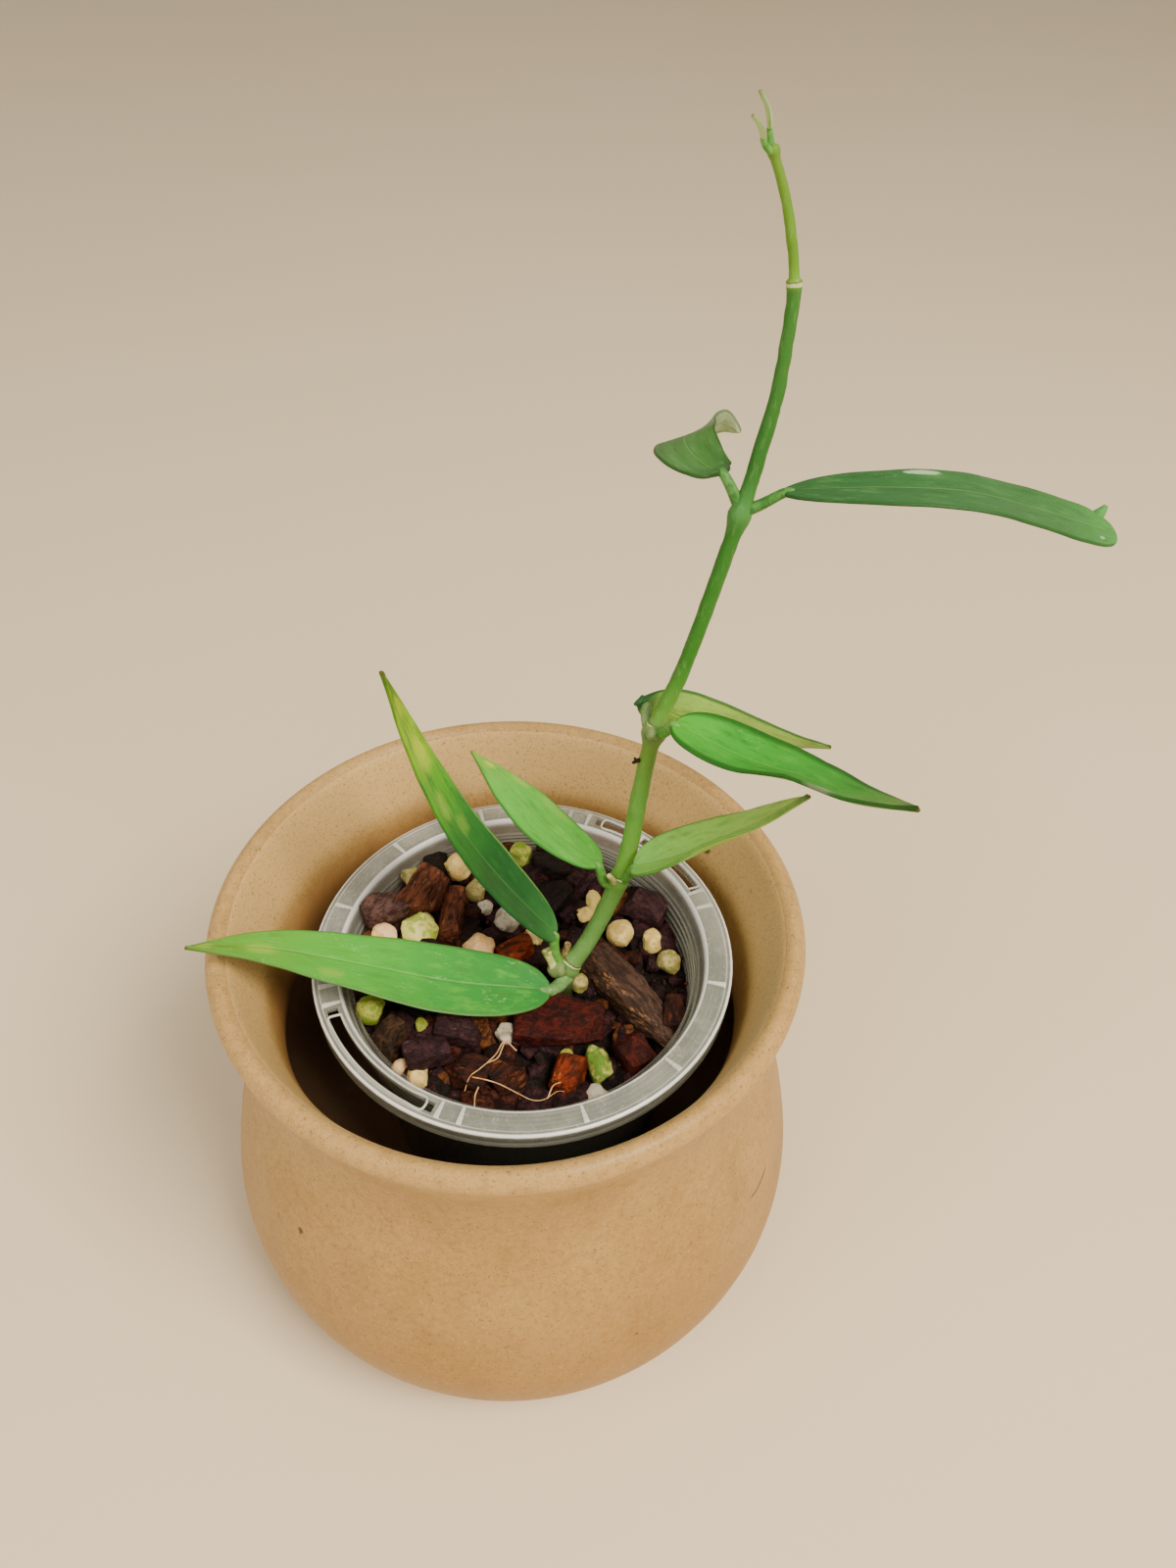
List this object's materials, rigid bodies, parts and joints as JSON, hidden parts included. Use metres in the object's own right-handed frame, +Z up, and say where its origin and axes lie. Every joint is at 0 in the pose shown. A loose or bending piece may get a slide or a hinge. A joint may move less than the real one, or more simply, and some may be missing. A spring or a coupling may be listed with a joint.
{
  "type": "potted hoya burmanica",
  "caption": "Young hoya burmanica climbing from a clear growing pot of bark and pumice, set inside a flared tan stoneware pot with a rounded belly.",
  "frame": {"origin": "middle of the stoneware pot's flat foot, on the pot's axis", "axes": "+Z up along the pot's axis, -Y towards the viewer, the plant leans to +X"},
  "size_m": [0.1759, 0.1352, 0.2532],
  "materials": {
    "stoneware": "satin khaki glaze with fine brown specks, dark inside below the neck",
    "clear_plastic": "thin clear moulded plastic",
    "mix": "damp dark bark crumbs",
    "bark": "rough split bark, dark brown to rust",
    "pumice": "rough cream stone, mossy in places",
    "stem": "smooth satin green",
    "leaf": "waxy mid green with paler flecks",
    "young_leaf": "soft pale green"
  },
  "bodies": {
    "root": {"outer_pot": "stoneware", "inner_pot": "clear_plastic", "potting_mix": "mix", "stem": "stem", "leaf_1": "leaf", "leaf_2": "leaf", "leaf_3": "leaf", "leaf_4": "leaf", "leaf_5": "leaf", "leaf_6": "leaf", "leaf_7": "leaf", "leaf_8": "leaf", "young_leaf_1": "young_leaf", "young_leaf_2": "young_leaf", "pumice_1": "pumice", "pumice_2": "pumice", "pumice_3": "pumice", "pumice_4": "pumice", "pumice_5": "pumice", "pumice_6": "pumice", "pumice_7": "pumice", "pumice_8": "pumice", "pumice_9": "pumice", "pumice_10": "pumice", "pumice_11": "pumice", "pumice_12": "pumice", "pumice_13": "pumice", "pumice_14": "pumice", "pumice_15": "pumice", "pumice_16": "pumice", "pumice_17": "pumice", "pumice_18": "pumice", "pumice_19": "pumice", "pumice_20": "pumice", "pumice_21": "pumice", "pumice_22": "pumice", "pumice_23": "pumice", "pumice_24": "pumice", "bark_1": "bark", "bark_2": "bark", "bark_3": "bark", "bark_4": "bark", "bark_5": "bark", "bark_6": "bark", "bark_7": "bark", "bark_8": "bark", "bark_9": "bark", "bark_10": "bark", "bark_11": "bark", "bark_12": "bark", "bark_13": "bark", "bark_14": "bark", "bark_15": "bark", "bark_16": "bark", "bark_17": "bark", "bark_18": "bark"}
  },
  "joints": []
}
